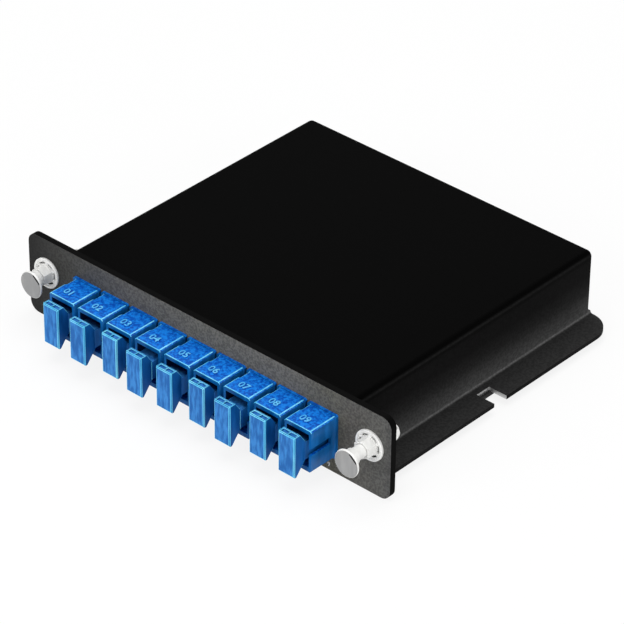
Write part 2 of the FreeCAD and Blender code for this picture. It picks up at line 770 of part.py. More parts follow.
def plunger(side):
    """Nylon plunger: flat head, flared neck, thin shank and a barbed tip.

    The right one is pulled out until its barb meets the grommet's legs; the left one is
    pushed in until its flare meets the grommet's boss.
    """
    x = side * plunger_x
    face = -plunger_out
    back = face + head_thickness
    flare_end = back + flare_length
    barb_start = leg_end + stop_gap
    barb_r = shank_r + shank_fit + barb_catch
    body = turned(x, plunger_z, [
        (face, 0), (face, head_r), (back, head_r), (back, flare_r), (flare_end, flare_end_r),
        (flare_end, neck_r), (neck_end, neck_r), (neck_end, shank_r), (barb_start, shank_r),
        (barb_start, barb_r), (barb_start + barb_length, barb_tip_r),
        (barb_start + barb_length, 0)])
    if side < 0:
        body.translate(V(0, plunger_travel, 0))
    return body


# ---------------------------------------------------------------- the whole object
def build():
    """Every node's shape, by name."""
    nodes = {
        "front_panel": front_panel(),
        "cover": cover(),
        "base_plate": base_plate(),
        "standoffs": standoffs(),
        "base_screws": base_screws(),
        "adapter_inserts": adapter_inserts(),
        "adapter_clips": adapter_clips(),
        "alignment_sleeves": alignment_sleeves(),
        "ferrules": ferrules(),
        "connector_boots": connector_boots(),
        "splitter_case": splitter_case(),
        "splitter_chip": splitter_chip(),
        "splitter_ends": splitter_ends(),
        "fibre_clips": fibre_clips(),
    }
    for side, word in ((-1, "left"), (1, "right")):
        nodes["grommet_" + word] = grommet(side)
        nodes["plunger_" + word] = plunger(side)
    for number in range(1, port_count + 1):
        nodes["adapter_%d" % number] = adapter(number)
        nodes["dust_cap_%d" % number] = dust_cap(number)
        nodes["connector_%d" % number] = connector(number)
        nodes["pigtail_%d" % number] = pigtail(number)
    return nodes


os.makedirs("parts", exist_ok=True)
to_middle = V(0, (cap_reach - box_rear) / 2, 0)
for name, shape in build().items():
    shape.translate(to_middle)
    shape.exportStep("parts/" + name + ".step")
    print(name, "valid" if shape.isValid() else "INVALID", len(shape.Solids), "solids",
          "%.1f mm3" % shape.Volume)
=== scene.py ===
import bpy
import bmesh
import json
import math
import numpy as np
from mathutils import Matrix, Vector


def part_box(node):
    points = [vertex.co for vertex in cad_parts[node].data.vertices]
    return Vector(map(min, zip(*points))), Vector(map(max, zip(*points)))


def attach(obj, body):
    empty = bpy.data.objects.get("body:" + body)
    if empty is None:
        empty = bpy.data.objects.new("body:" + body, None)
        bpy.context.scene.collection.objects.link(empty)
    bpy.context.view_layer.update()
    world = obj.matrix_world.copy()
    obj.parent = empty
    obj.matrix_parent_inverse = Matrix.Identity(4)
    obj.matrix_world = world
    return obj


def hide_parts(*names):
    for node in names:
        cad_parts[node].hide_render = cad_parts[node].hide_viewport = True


# Looks of a 1 x 8 optical splitter cassette: powder-coated steel box and panel, blue moulded
# adapters with dust caps, natural nylon push-pull plungers. The frame is that of the packed
# model: X right along the panel, Y to the rear, Z up. Meshes are in metres. Sizes and places in
# the constants below are in millimetres, unless a comment gives another unit.

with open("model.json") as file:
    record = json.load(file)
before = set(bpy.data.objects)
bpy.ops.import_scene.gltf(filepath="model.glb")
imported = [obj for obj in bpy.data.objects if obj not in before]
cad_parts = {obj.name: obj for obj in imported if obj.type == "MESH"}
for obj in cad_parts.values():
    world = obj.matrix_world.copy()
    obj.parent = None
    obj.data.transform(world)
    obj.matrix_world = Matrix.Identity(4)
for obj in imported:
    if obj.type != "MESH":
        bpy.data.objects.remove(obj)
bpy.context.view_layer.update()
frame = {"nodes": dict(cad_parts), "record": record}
MM = 0.001
PORTS = range(1, 10)


# ---------------------------------------------------------------- camera
CAMERA_AZIMUTH = 41.818      # degrees, turned from straight ahead towards the right end
CAMERA_ELEVATION = 33.826    # degrees above the floor
CAMERA_ROLL = 0.639          # degrees
CAMERA_PLACE = Vector((527.3, -588.54, 537.44)) * MM
CAMERA_LENS = 203.8          # focal length
SENSOR_WIDTH = 36
FARTHEST_SEEN = 10           # metres


def camera():
    """A long lens that looks down at the front and the right side."""
    a, e, r = (math.radians(x) for x in (CAMERA_AZIMUTH, CAMERA_ELEVATION, CAMERA_ROLL))
    back = Vector((math.sin(a) * math.cos(e), -math.cos(a) * math.cos(e), math.sin(e)))
    level = Vector((math.cos(a), math.sin(a), 0))
    upright = back.cross(level)
    right = math.cos(r) * level + math.sin(r) * upright
    up = math.cos(r) * upright - math.sin(r) * level
    turn = Matrix((right, up, back)).transposed().to_4x4()
    data = bpy.data.cameras.new("camera")
    data.lens = CAMERA_LENS
    data.sensor_width = SENSOR_WIDTH
    data.clip_end = FARTHEST_SEEN
    eye = bpy.data.objects.new("camera", data)
    eye.matrix_world = Matrix.Translation(CAMERA_PLACE) @ turn
    bpy.context.collection.objects.link(eye)
    bpy.context.scene.camera = eye


# ---------------------------------------------------------------- material helpers
MIX_A, MIX_B, MIX_RESULT = 6, 7, 2     # the colour sockets of a Mix node
NOISE_LOW, NOISE_HIGH = 0.4, 0.6       # between these lie most values of a noise pattern


def linear(code):
    """An sRGB hex colour as the linear colour that a shader takes."""
    srgb = np.array([int(code[i:i + 2], 16) for i in (0, 2, 4)]) / 255
    values = np.where(srgb <= 0.04045, srgb / 12.92, ((srgb + 0.055) / 1.055) ** 2.4)
    return (*values.tolist(), 1.0)


def wire(owner, node, values=(), links=()):
    """Sets inputs of a node in a material or a world, and feeds others from other nodes."""
    for socket, value in dict(values).items():
        node.inputs[socket].default_value = value
    for socket, source in dict(links).items():
        owner.node_tree.links.new(source, node.inputs[socket])


def add(owner, kind, settings=(), values=(), links=(), stops=()):
    """Adds a node: settings are its own properties, values and links are as in wire, and stops
    are the (place from 0 to 1, sRGB hex) of a colour ramp, in rising order."""
    made = owner.node_tree.nodes.new(kind)
    for name, value in dict(settings).items():
        setattr(made, name, value)
    wire(owner, made, values, links)
    for place, _ in stops[2:]:
        made.color_ramp.elements.new(place)
    for number, (place, code) in enumerate(stops):
        made.color_ramp.elements[number].position = place
        made.color_ramp.elements[number].color = linear(code)
    return made


def start(name):
    """A new material with its principled shader."""
    material = bpy.data.materials.new(name)
    material.use_nodes = True
    return material, material.node_tree.nodes["Principled BSDF"]


def per_mm(size_mm):
    """Texture scale whose features are about that many millimetres across."""
    return 1 / (size_mm * MM)


# ---------------------------------------------------------------- materials
def powder_coat(name, stops, axis, low_mm, high_mm, roughness, gloss, peel_shade="D8D8D8"):
    """Polyester powder coat, baked on steel: a fine orange-peel skin that breaks up reflections.

    Its tone follows the stops along one axis between two places in millimetres: painted light and
    shade, such as a painted reflection, painted highlights on folds and painted shade. It darkens
    towards peel_shade in the hollows of the peel, a painted shade.
    """
    material, shader = start(name)
    place = add(material, "ShaderNodeTexCoord").outputs["Object"]
    along = add(material, "ShaderNodeSeparateXYZ", links={"Vector": place}).outputs[axis]
    share = add(material, "ShaderNodeMapRange", links={"Value": along},
                values={"From Min": low_mm * MM, "From Max": high_mm * MM}).outputs["Result"]
    # The tone along the axis carries painted light and shade, set by the stops.
    tone = add(material, "ShaderNodeValToRGB", links={"Fac": share}, stops=stops).outputs["Color"]
    # The peel of a fine coat is about 0.2 mm across, and is drawn coarser so that it shows.
    peel = add(material, "ShaderNodeTexNoise", values={"Scale": per_mm(0.6), "Detail": 3.0},
               links={"Vector": place}).outputs["Fac"]
    # Painted shade: the coat is darker in the hollows of the peel.
    hollows = add(material, "ShaderNodeValToRGB", links={"Fac": peel},
                  stops=[(NOISE_LOW, peel_shade), (NOISE_HIGH, "FFFFFF")]).outputs["Color"]
    coat = add(material, "ShaderNodeMix", {"data_type": "RGBA", "blend_type": "MULTIPLY"},
               {"Factor": 1.0}, {MIX_A: tone, MIX_B: hollows}).outputs[MIX_RESULT]
    rough = add(material, "ShaderNodeMapRange", links={"Value": peel},
                values={"To Min": roughness - 0.05, "To Max": roughness + 0.05})
    bump = add(material, "ShaderNodeBump", links={"Height": peel},
               values={"Strength": 0.12, "Distance": 0.02 * MM})
    wire(material, shader, {"Specular IOR Level": gloss}, {
        "Base Color": coat, "Roughness": rough.outputs["Result"], "Normal": bump.outputs["Normal"]})
    return material


def moulded(name, dark, light, roughness, ior=1.55, glow=0.0, gloss=0.5, flow_mm=2.5):
    """Plastic, rubber, ceramic or glass from a mould: its colour drifts along the flow, and it
    keeps the mould's fine spark grain.

    flow_mm is the width of the drift, which is four times as long upwards, and glow is the share
    of the light that goes into the piece and comes out beside.
    """
    material, shader = start(name)
    place = add(material, "ShaderNodeTexCoord").outputs["Object"]
    along = add(material, "ShaderNodeMapping", values={"Scale": (1.0, 1.0, 0.25)},
                links={"Vector": place}).outputs["Vector"]
    flow = add(material, "ShaderNodeTexNoise", values={"Scale": per_mm(flow_mm), "Detail": 3.0},
               links={"Vector": along}).outputs["Fac"]
    colour = add(material, "ShaderNodeValToRGB", links={"Fac": flow},
                 stops=[(NOISE_LOW, dark), (NOISE_HIGH, light)]).outputs["Color"]
    # Spark grain is finer than 0.1 mm, and is drawn coarser so that it shows.
    grain = add(material, "ShaderNodeTexNoise", values={"Scale": per_mm(0.25), "Detail": 2.0},
                links={"Vector": place}).outputs["Fac"]
    rough = add(material, "ShaderNodeMapRange", links={"Value": flow},
                values={"To Min": roughness - 0.06, "To Max": roughness + 0.06})
    bump = add(material, "ShaderNodeBump", links={"Height": grain},
               values={"Strength": 0.15, "Distance": 0.01 * MM})
    wire(material, shader, {"IOR": ior, "Specular IOR Level": gloss}, {
        "Base Color": colour, "Roughness": rough.outputs["Result"],
        "Normal": bump.outputs["Normal"]})
    if glow:
        wire(material, shader, {"Subsurface Weight": glow, "Subsurface Radius": (1.0, 1.0, 1.0),
                                "Subsurface Scale": 0.6 * MM})
    return material


def bright_metal(name, dark, light, roughness):
    """Plated or rolled steel: fine lines along X, 20 times as long as wide, unevenly polished."""
    material, shader = start(name)
    place = add(material, "ShaderNodeTexCoord").outputs["Object"]
    drawn = add(material, "ShaderNodeMapping", values={"Scale": (0.05, 1.0, 1.0)},
                links={"Vector": place}).outputs["Vector"]
    lines = add(material, "ShaderNodeTexNoise", values={"Scale": per_mm(0.4), "Detail": 2.0},
                links={"Vector": drawn}).outputs["Fac"]
    colour = add(material, "ShaderNodeValToRGB", links={"Fac": lines},
                 stops=[(NOISE_LOW, dark), (NOISE_HIGH, light)]).outputs["Color"]
    rough = add(material, "ShaderNodeMapRange", links={"Value": lines},
                values={"To Min": roughness - 0.08, "To Max": roughness + 0.08})
    wire(material, shader, {"Metallic": 1.0}, {
        "Base Color": colour, "Roughness": rough.outputs["Result"]})
    return material


# Painted light and shade in the coat's tones: across the panel a painted reflection, lightest in
# the middle, and a painted highlight on its front edge, from the left end to the right; on the
# cover painted highlights along the wing's fold and the top's fold and a painted gradient up the
# side wall, lighter at its foot, from the wings up to the near-black top.
ACROSS = ("X", -65, 65)
UPWARDS = ("Z", 0, 25)
PANEL_PAINTED_REFLECTION_TONES = [(0.0, "1E1E1E"), (0.023, "242424"), (0.15, "4C4C4A"), (0.27, "62605C"),
               (0.5, "6E6C64"), (0.73, "706E68"), (0.85, "656359"), (0.9, "605E5A"),
               (0.98, "5E5E5C"), (1.0, "525252")]
PANEL_EDGE_PAINTED_HIGHLIGHT_TONES = [(0, "4A4A4A"), (0.5, "7C7A76"), (1, "6E6E6E")]
COVER_PAINTED_LIGHT_TONES = [(0.0, "383838"), (0.1285, "383838"), (0.1295, "202020"), (0.131, "2C2C2C"),
               (0.137, "585858"), (0.144, "686868"), (0.16, "505050"), (0.19, "4A4A4A"),
               (0.24, "424242"), (0.32, "363636"), (0.4, "282828"), (0.48, "1E1E1E"),
               (0.64, "121212"), (0.82, "101010"), (0.845, "0A0A0A"), (0.865, "0A0A0A"),
               (0.88, "161616"), (0.892, "191919"), (0.905, "0A0A0A"), (0.915, "020202"),
               (0.935, "020202"), (0.943, "040404")]


def make_materials():
    """Every finish on the object, by the record's material slots and for the added pieces."""
    return {
        # Satin powder coat: dark grey on the face under a painted reflection, lightest in the
        # middle, a painted highlight on the rounded edge, and painted shade, near black, on the
        # rim.
        "panel_paint": powder_coat("satin_black_powder_coat", PANEL_PAINTED_REFLECTION_TONES, *ACROSS, 0.45, 0.1,
                                   "C8C8C8"),
        "panel_edge_highlight": powder_coat("satin_black_coat_painted_edge_highlight", PANEL_EDGE_PAINTED_HIGHLIGHT_TONES, *ACROSS, 0.45, 0.2),
        "panel_rim_shade": powder_coat("satin_black_coat_painted_rim_shade", [(0, "040404"), (1, "060606")], *ACROSS,
                                 0.6, 0.02),
        # Matte powder coat: deep black flats, with painted highlights along the folds, a painted
        # gradient up the side wall, lighter at its foot, and painted shade, near black, on the
        # edges.
        "cover_paint": powder_coat("matte_black_powder_coat", COVER_PAINTED_LIGHT_TONES, *UPWARDS, 0.6, 0.01),
        "cover_edge_shade": powder_coat("matte_black_coat_painted_edge_shade", [(0, "080808"), (1, "0A0A0A")],
                                  *UPWARDS, 0.6, 0.05),
        "base_paint": powder_coat("matte_black_powder_coat_base", [(0, "161616"), (1, "1C1C1C")],
                                  *UPWARDS, 0.6, 0.15),
        # Steel as cut, plated, rolled or drawn: a grey shine with fine lines.
        "cut_steel": bright_metal("sheared_steel", "A8A8A8", "C8C8C8", 0.4),
        "standoff_steel": bright_metal("zinc_plated_steel", "A8A8A0", "C4C4BC", 0.35),
        "screw_steel": bright_metal("black_zinc_plated_steel", "1C1C1E", "2C2C30", 0.38),
        "clip_steel": bright_metal("rolled_spring_steel", "B4B4B6", "CFCFD2", 0.25),
        "case_steel": bright_metal("drawn_stainless_tube", "B8B8BA", "D0D0D2", 0.28),
        # Polished zirconia: ivory white, dense, with a hard gloss.
        "sleeve_ceramic": moulded("polished_zirconia_sleeve", "E6E2D8", "EFECE4", 0.15, 2.1),
        "ferrule_ceramic": moulded("polished_zirconia_ferrule", "EAE8E2", "F2F0EA", 0.12, 2.1),
        # Polished silica: a pale block with a sharp gloss.
        "chip_glass": moulded("silica_glass_chip", "C8D4DA", "DDE6EA", 0.12, 1.46),
        # Moulded rubber: nearly black and dull.
        "boot_rubber": moulded("black_boot_elastomer", "1B1B1C", "242425", 0.6, 1.5),
        "end_rubber": moulded("black_end_rubber", "1A1A1A", "222222", 0.65, 1.5),
        # Moulded PBT polyester: saturated blue with a soft sheen; painted shade, darker on the
        # flanks and nearly black in the mouths, and a painted highlight, paler, on the rounded
        # edges and on the raised figures.
        "adapter_blue": moulded("blue_pbt_adapter", "004AAC", "127CDE", 0.36, gloss=0.1,
                                flow_mm=0.7),
        "adapter_side": moulded("blue_pbt_painted_flank_shade", "04508C", "0C62A8", 0.4, gloss=0.1),
        "adapter_dark": moulded("blue_pbt_painted_mouth_shade", "021A3C", "04244C", 0.5, gloss=0.15),
        "adapter_edge": moulded("blue_pbt_painted_edge_highlight", "50BCEC", "74D4F4", 0.3),
        "adapter_figure": moulded("blue_pbt_painted_figure_highlight", "46AAE8", "68C4F2", 0.36, gloss=0.1),
        "insert_plastic": moulded("blue_pbt_insert", "021A3C", "04244C", 0.5, gloss=0.15),
        "connector_blue": moulded("blue_pbt_connector", "0A52C0", "1460CC", 0.36),
        # Moulded soft PVC: a milkier blue that light goes into a little; painted shade, darker, on
        # the flanks, the taper and the underside, and a painted highlight on the rounded edges of
        # the grip.
        "cap_blue": moulded("blue_soft_pvc_cap", "1E62AA", "3A84CC", 0.4, 1.5, 0.1, 0.1, 1.0),
        "cap_side": moulded("blue_soft_pvc_painted_flank_shade", "0C4E8E", "165EA6", 0.4, 1.5, 0.1, 0.1),
        "cap_edge": moulded("blue_soft_pvc_painted_edge_highlight", "4FC0E4", "74D6F0", 0.34, 1.5, 0.1),
        # Moulded natural nylon: waxy white, lit from within; painted shade, grey, on the heads'
        # faces, and darker painted shade in the slots.
        "grommet_nylon": moulded("natural_nylon_grommet", "E2E2E0", "EEEEEC", 0.3, 1.53, 0.2),
        "plunger_nylon": moulded("natural_nylon_plunger", "E2E2E0", "EEEEEC", 0.32, 1.53, 0.2),
        "plunger_face_shade": moulded("natural_nylon_painted_face_shade", "929292", "9C9C9C", 0.5, 1.53, gloss=0.2),
        "plunger_slot_shade": moulded("natural_nylon_painted_slot_shade", "2A2A2A", "363636", 0.6, 1.53, gloss=0.1),
        "fibre_clip_plastic": moulded("white_nylon_clip", "DDDDD6", "E8E8E2", 0.45, 1.53),
        # Extruded buffer and pad-printed ink: plain off-white, half matte.
        "pigtail_jacket": moulded("white_tight_buffer", "E2E0D6", "EEECE4", 0.5, 1.5),
        "ink": moulded("white_pad_print_ink", "D8D8D8", "E8E8E8", 0.5),
    }


finish = make_materials()


def paint_nodes():
    """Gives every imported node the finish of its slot."""
    for row in frame["record"]["subparts"]:
        node = frame["nodes"][row["node"]]
        for place in node.material_slots:
            place.material = finish[row["material_slot"]]


# ---------------------------------------------------------------- mesh helpers
FLAT = math.radians(0.5)     # faces that meet at less than this are one flat face
FOLDED = math.radians(30)    # faces that meet outwards at more than this have an edge to round


def piece(name, points, faces, body, finishes):
    """A mesh object from arrays of points in metres and of faces."""
    mesh = bpy.data.meshes.new(name)
    mesh.from_pydata(np.asarray(points, float).tolist(), [], [list(map(int, f)) for f in faces])
    return finish_piece(name, mesh, body, finishes)


def finish_piece(name, mesh, body, finishes, smooth_deg=35.0):
    """Links a mesh as a piece that rides on a body and takes its finish from a record slot.
    Edges sharper than smooth_deg stay crisp."""
    for word in finishes:
        mesh.materials.append(finish[word])
    mesh.validate()
    mesh.shade_smooth()
    mesh.set_sharp_from_angle(angle=math.radians(smooth_deg))
    made = bpy.data.objects.new(name, mesh)
    bpy.context.collection.objects.link(made)
    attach(made, body)
    return made


def grid_faces(rows, columns):
    """Quads of a grid whose columns close on themselves.

    Each quad has corners (i, j), (i, j + 1), (i + 1, j + 1) and (i + 1, j), and the last column's
    j + 1 is the first column.
    """
    r, c = np.meshgrid(np.arange(rows - 1), np.arange(columns), indexing="ij")
    after = (c + 1) % columns
    quads = np.stack([r * columns + c, r * columns + after,
                      (r + 1) * columns + after, (r + 1) * columns + c], axis=-1)
    return quads.reshape(-1, 4)


def rounded(profile, radii, steps=6):
    """A profile with its corners rounded.

    At each inner corner with radius r the two legs are cut back by r, or by 45 percent of a
    short leg, and joined by the curve (1-t)^2 A + 2t(1-t) P + t^2 B, which is tangent to both.
    """
    profile = np.asarray(profile, float)
    points = [profile[:1]]
    t = np.linspace(0, 1, steps)[:, None]
    for before, here, after, radius in zip(profile, profile[1:], profile[2:], radii):
        one, two = before - here, after - here
        cut = min(radius, 0.45 * np.linalg.norm(one), 0.45 * np.linalg.norm(two))
        a = here + one / np.linalg.norm(one) * cut
        b = here + two / np.linalg.norm(two) * cut
        points.append((1 - t) ** 2 * a + 2 * t * (1 - t) * here + t ** 2 * b)
    points.append(profile[-1:])
    return np.concatenate(points)


def outward(mesh):
    """Turns every face of a closed mesh outwards."""
    work = bmesh.new()
    work.from_mesh(mesh)
    bmesh.ops.remove_doubles(work, verts=work.verts, dist=1e-7)
    bmesh.ops.recalc_face_normals(work, faces=work.faces)
    work.to_mesh(mesh)
    work.free()


def inner_edges(work):
    """Edges inside the flat regions of a mesh that have no hole.

    A region of V vertices, E edges and F faces has no hole when V - E + F = 1.
    """
    flat = {e for e in work.edges if e.is_manifold and e.calc_face_angle() < FLAT}
    left, chosen = set(work.faces), []
    while left:
        region, todo = set(), [left.pop()]
        while todo:
            face = todo.pop()
            region.add(face)
            near = {f for e in face.edges if e in flat for f in e.link_faces} & left
            left -= near
            todo += near
        edges = {e for f in region for e in f.edges}
        vertices = {v for f in region for v in f.verts}
        if len(vertices) - len(edges) + len(region) == 1:
            chosen += [e for e in edges if e in flat and set(e.link_faces) <= region]
    return chosen


def joined_copy(node):
    """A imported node's mesh with its loose triangles joined and its flat faces made whole."""
    work = bmesh.new()
    work.from_mesh(frame["nodes"][node].data)
    bmesh.ops.remove_doubles(work, verts=work.verts, dist=1e-6)
    chosen = sorted(inner_edges(work), key=lambda edge: edge.index)
    bmesh.ops.dissolve_limit(work, angle_limit=FLAT, verts=work.verts, edges=chosen)
    return work


def edged(node, finishes, width_mm, body="cassette", bright=None, finish_of=None):
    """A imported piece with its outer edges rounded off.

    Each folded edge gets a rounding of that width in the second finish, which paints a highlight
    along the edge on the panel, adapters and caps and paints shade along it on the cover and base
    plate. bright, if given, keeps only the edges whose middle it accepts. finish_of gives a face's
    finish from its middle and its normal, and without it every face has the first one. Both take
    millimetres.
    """
    work = joined_copy(node)
    weight = work.edges.layers.float.new("bevel_weight_edge")
    for edge in work.edges:
        if edge.is_manifold and edge.calc_face_angle_signed() > FOLDED:
            middle = (edge.verts[0].co + edge.verts[1].co) / 2 / MM
            if bright is None or bright(middle):
                edge[weight] = 1.0
    places = [finishes.index(finish_of(face.calc_center_median() / MM, face.normal))
              if finish_of else 0 for face in work.faces]
    mesh = bpy.data.meshes.new(node + "_moulding")
    work.to_mesh(mesh)
    work.free()
    mesh.materials.clear()
    made = finish_piece(node + "_finished", mesh, body, finishes, 30.0)
    mesh.polygons.foreach_set("material_index", places)
    rounding = made.modifiers.new("rounding", "BEVEL")
    rounding.limit_method = "WEIGHT"
    rounding.width = width_mm * MM
    rounding.segments = 2
    # The rounding takes the second finish, a painted highlight or painted shade along the edge.
    rounding.material = 1
    rounding.harden_normals = True
    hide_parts(node)


# ---------------------------------------------------------------- ports
PANEL_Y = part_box("front_panel")[0].y / MM      # the panel's front face
ADAPTER_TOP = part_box("adapter_1")[1].z / MM
PORT_PITCH = 10.6
MOUTH_HALF = 3.9             # half the width of the painted shade inside a mouth
MOUTH_LOW, MOUTH_HIGH = 6.8, 16.8
COLLAR_DEPTH = 1.0           # in front of the panel, where the lit edges of an adapter end
LIT_BAND = 0.6               # below an adapter's top, where its lit edges end
GRIP_START = 11.0            # in front of the panel, where the grip of a cap starts
GRIP_FOOT = 5.3              # above the foot edges of a grip, which stay dark
ADAPTER_ROUNDING, CAP_ROUNDING = 0.18, 0.15
FIGURE_SIZE, FIGURE_THICKNESS = 3.2, 0.2       # raised figures on the adapters' tops
FIGURE_X, FIGURE_Y = -0.2, -6.9                # from a port's axis and the panel's face
PRINT_SIZE, PRINT_THICKNESS = 2.0, 0.02        # printed figures at the panel's foot
PRINT_X, PRINT_Z = 1.9, 1.6                    # from a port's axis and the panel's bottom


def port_x(number):
    """X of a port's axis."""
    low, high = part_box("adapter_%d" % number)
    return (low.x + high.x) / 2 / MM


def figure(name, text, size, thickness, place, lie_flat, word):
    """A plain figure, flat on a top face or upright on a front face."""
    curve = bpy.data.curves.new(name, "FONT")
    curve.body = text
    curve.size = size * MM
    curve.extrude = thickness / 2 * MM
    curve.align_x = "CENTER"
    curve.align_y = "CENTER"
    curve.resolution_u = 3
    holder = bpy.data.objects.new(name + "_curve", curve)
    bpy.context.collection.objects.link(holder)
    solid = holder.evaluated_get(bpy.context.evaluated_depsgraph_get())
    shape = bpy.data.meshes.new_from_object(solid)
    bpy.data.objects.remove(holder)
    turn = Matrix.Identity(4) if lie_flat else Matrix.Rotation(math.radians(90), 4, "X")
    shape.transform(Matrix.Translation(Vector(place) * MM) @ turn)
    shape.name = name
    shape.materials.clear()
    finish_piece(name, shape, "cassette", [word])


def adapter_finish(middle, normal):
    """Blue on top; painted shade, darker on the flanks and nearly black inside the mouth."""
    from_axis_x = abs(middle.x - round(middle.x / PORT_PITCH) * PORT_PITCH)
    inside = from_axis_x < MOUTH_HALF and MOUTH_LOW < middle.z < MOUTH_HIGH
    if inside and abs(normal.y) < 0.5:
        return "adapter_dark"
    return "adapter_blue" if normal.z > 0.5 else "adapter_side"


def adapter_bright(middle):
    """True for a housing's edges round the front of its top, which are rounded with a painted
    highlight.
    """
    return middle.y < PANEL_Y - COLLAR_DEPTH and middle.z > ADAPTER_TOP - LIT_BAND


def cap_finish(middle, normal):
    """Mid blue in front and on top; painted shade, darker, on the flanks, the taper and the
    underside.
    """
    return "cap_blue" if normal.y < -0.7 or normal.z > 0.7 else "cap_side"


def cap_bright(middle):
    """True for the edges of a cap's grip at its top and front, which are rounded with a painted
    highlight.
    """
    return middle.y < PANEL_Y - GRIP_START and middle.z > GRIP_FOOT


def ports():
    """Nine adapters with their raised port figures, and their dust caps."""
    for number in PORTS:
        edged("adapter_%d" % number,
              ["adapter_blue", "adapter_edge", "adapter_side", "adapter_dark"],
              ADAPTER_ROUNDING, bright=adapter_bright, finish_of=adapter_finish)
        place = (port_x(number) + FIGURE_X, PANEL_Y + FIGURE_Y, ADAPTER_TOP)
        # The raised figures take a paler blue than the moulding, a painted highlight.
        figure("port_figure_%d" % number, "%02d" % number, FIGURE_SIZE, FIGURE_THICKNESS, place,
               True, "adapter_figure")
        edged("dust_cap_%d" % number, ["cap_blue", "cap_edge", "cap_side"],
              CAP_ROUNDING, "cap_%d" % number, cap_bright, cap_finish)


def printed_figures():
    """White pad-printed port figures along the foot of the panel."""
    for number in PORTS:
        figure("printed_figure_%d" % number, str(number), PRINT_SIZE, PRINT_THICKNESS,
               (port_x(number) + PRINT_X, PANEL_Y, PRINT_Z), False, "ink")


# ---------------------------------------------------------------- panel, box and screws
PANEL_ROUNDING, COVER_ROUNDING, BASE_ROUNDING = 0.15, 0.25, 0.12
WINGS_FROM = 53.0            # from the middle; past this a face of the cover is on a wing
NOTCH_Y = 8.7                # middle of the wings' notches
NOTCH_HALF = 2.7             # half the length that the notches' faces lie in
SCREW_HEAD_R = 2.3
SCREW_SHANK_R = 1.25
SCREW_HEAD_HEIGHT = 0.7
RECESS_DEPTH = 0.45
RECESS_ARM, RECESS_HALF_WIDTH = 1.3, 0.3
RECESS_TAPER = 0.85          # the recess's floor, as a share of its mouth
SCREW_SIDES = 128


def panel_finish(middle, normal):
    """Satin on the front face; painted shade, near black, on the rim and the back."""
    return "panel_paint" if normal.y < -0.5 else "panel_rim_shade"


def panel_bright(middle):
    """True for the edges round the panel's front face, which are rounded with a painted highlight.
    """
    return middle.y < PANEL_Y + 0.5


def cover_finish(middle, normal):
    """Bare cut steel on the upright faces of the wings' notches, painted shade, near black, on the
    wings' rims.
    """
    if abs(normal.z) > 0.5 or abs(middle.x) < WINGS_FROM:
        return "cover_paint"
    return "cut_steel" if abs(middle.y - NOTCH_Y) < NOTCH_HALF else "cover_edge_shade"


def sheet_metal():
    """Panel, cover and base plate with their cut edges broken: a painted highlight on the panel's
    rounded edges, painted shade on those of the cover and the base plate.
    """
    edged("front_panel", ["panel_paint", "panel_edge_highlight", "panel_rim_shade"], PANEL_ROUNDING,
          bright=panel_bright, finish_of=panel_finish)
    edged("cover", ["cover_paint", "cover_edge_shade", "cut_steel"], COVER_ROUNDING,
          finish_of=cover_finish)
    edged("base_plate", ["base_paint", "cover_edge_shade"], BASE_ROUNDING)


def cross(angle, arm, half_width):
    """Outline of a cross recess about its middle: r = min(L / cos t, w / sin t), where t is the
    angle from the nearest arm, L an arm's length and w half its width."""
    away = np.abs((angle + np.pi / 4) % (np.pi / 2) - np.pi / 4)
    return np.minimum(arm / np.cos(away), half_width / np.maximum(np.sin(away), 1e-6))


def base_screws():
    """Four thin-headed screws in the base plate, each with a cross recess in its head.

    Each is turned about its own Z axis: ring i at angle t is (x + r_i cos t, y + r_i sin t, z_i),
    and the recess's two rings follow the cross.
    """
    low, high = (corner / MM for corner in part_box("base_screws"))
    length = high.z - low.z
    angle = np.linspace(0, 2 * np.pi, SCREW_SIDES, endpoint=False)
    recess = cross(angle, RECESS_ARM, RECESS_HALF_WIDTH)
    rings = [(low.z + RECESS_DEPTH, 0 * angle), (low.z + RECESS_DEPTH, recess * RECESS_TAPER),
             (low.z, recess)]
    rings += [(low.z + rise, radius + 0 * angle) for rise, radius in (
        (0.0, SCREW_HEAD_R - 0.25), (0.07, SCREW_HEAD_R - 0.07), (0.25, SCREW_HEAD_R),
        (SCREW_HEAD_HEIGHT, SCREW_HEAD_R), (SCREW_HEAD_HEIGHT, SCREW_SHANK_R),
        (length - 0.3, SCREW_SHANK_R), (length, SCREW_SHANK_R - 0.3), (length, 0.0))]
    points, faces = [], []
    for x in (low.x + SCREW_HEAD_R, high.x - SCREW_HEAD_R):
        for y in (low.y + SCREW_HEAD_R, high.y - SCREW_HEAD_R):
            faces += (grid_faces(len(rings), len(angle)) + sum(map(len, points))).tolist()
            points.append(np.concatenate([np.stack(
                [x + r * np.cos(angle), y + r * np.sin(angle), z + 0 * angle], axis=-1)
                for z, r in rings]) * MM)
    made = piece("base_screws_finished", np.concatenate(points), faces, "cassette",
                 ["screw_steel"])
    outward(made.data)
    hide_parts("base_screws")


